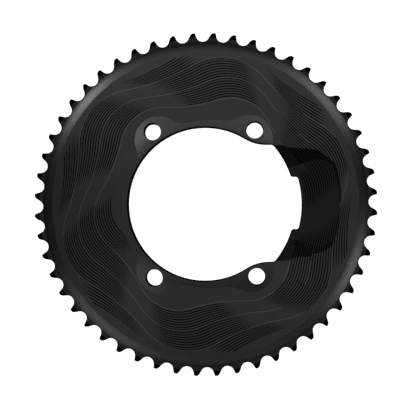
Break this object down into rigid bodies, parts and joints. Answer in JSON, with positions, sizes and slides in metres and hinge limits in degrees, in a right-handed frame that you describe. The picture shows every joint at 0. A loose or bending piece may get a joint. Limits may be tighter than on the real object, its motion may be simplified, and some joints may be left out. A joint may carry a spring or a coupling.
{
  "type": "bicycle chainring",
  "caption": "Black aluminium outer chainring with a closed coned disc, wavy machined grooves, hooked teeth, a wide central opening and a recess for the crank arm.",
  "frame": {"origin": "on the ring axis, in the plane of the bolt seats on the back", "axes": "+Z along the ring axis towards the outer face, +X towards the crank arm"},
  "size_m": [0.2136, 0.2136, 0.0089],
  "materials": {
    "ring": "satin black anodised, with machined grooves on the outer face"
  },
  "bodies": {
    "root": {"chainring": "ring"}
  },
  "joints": []
}
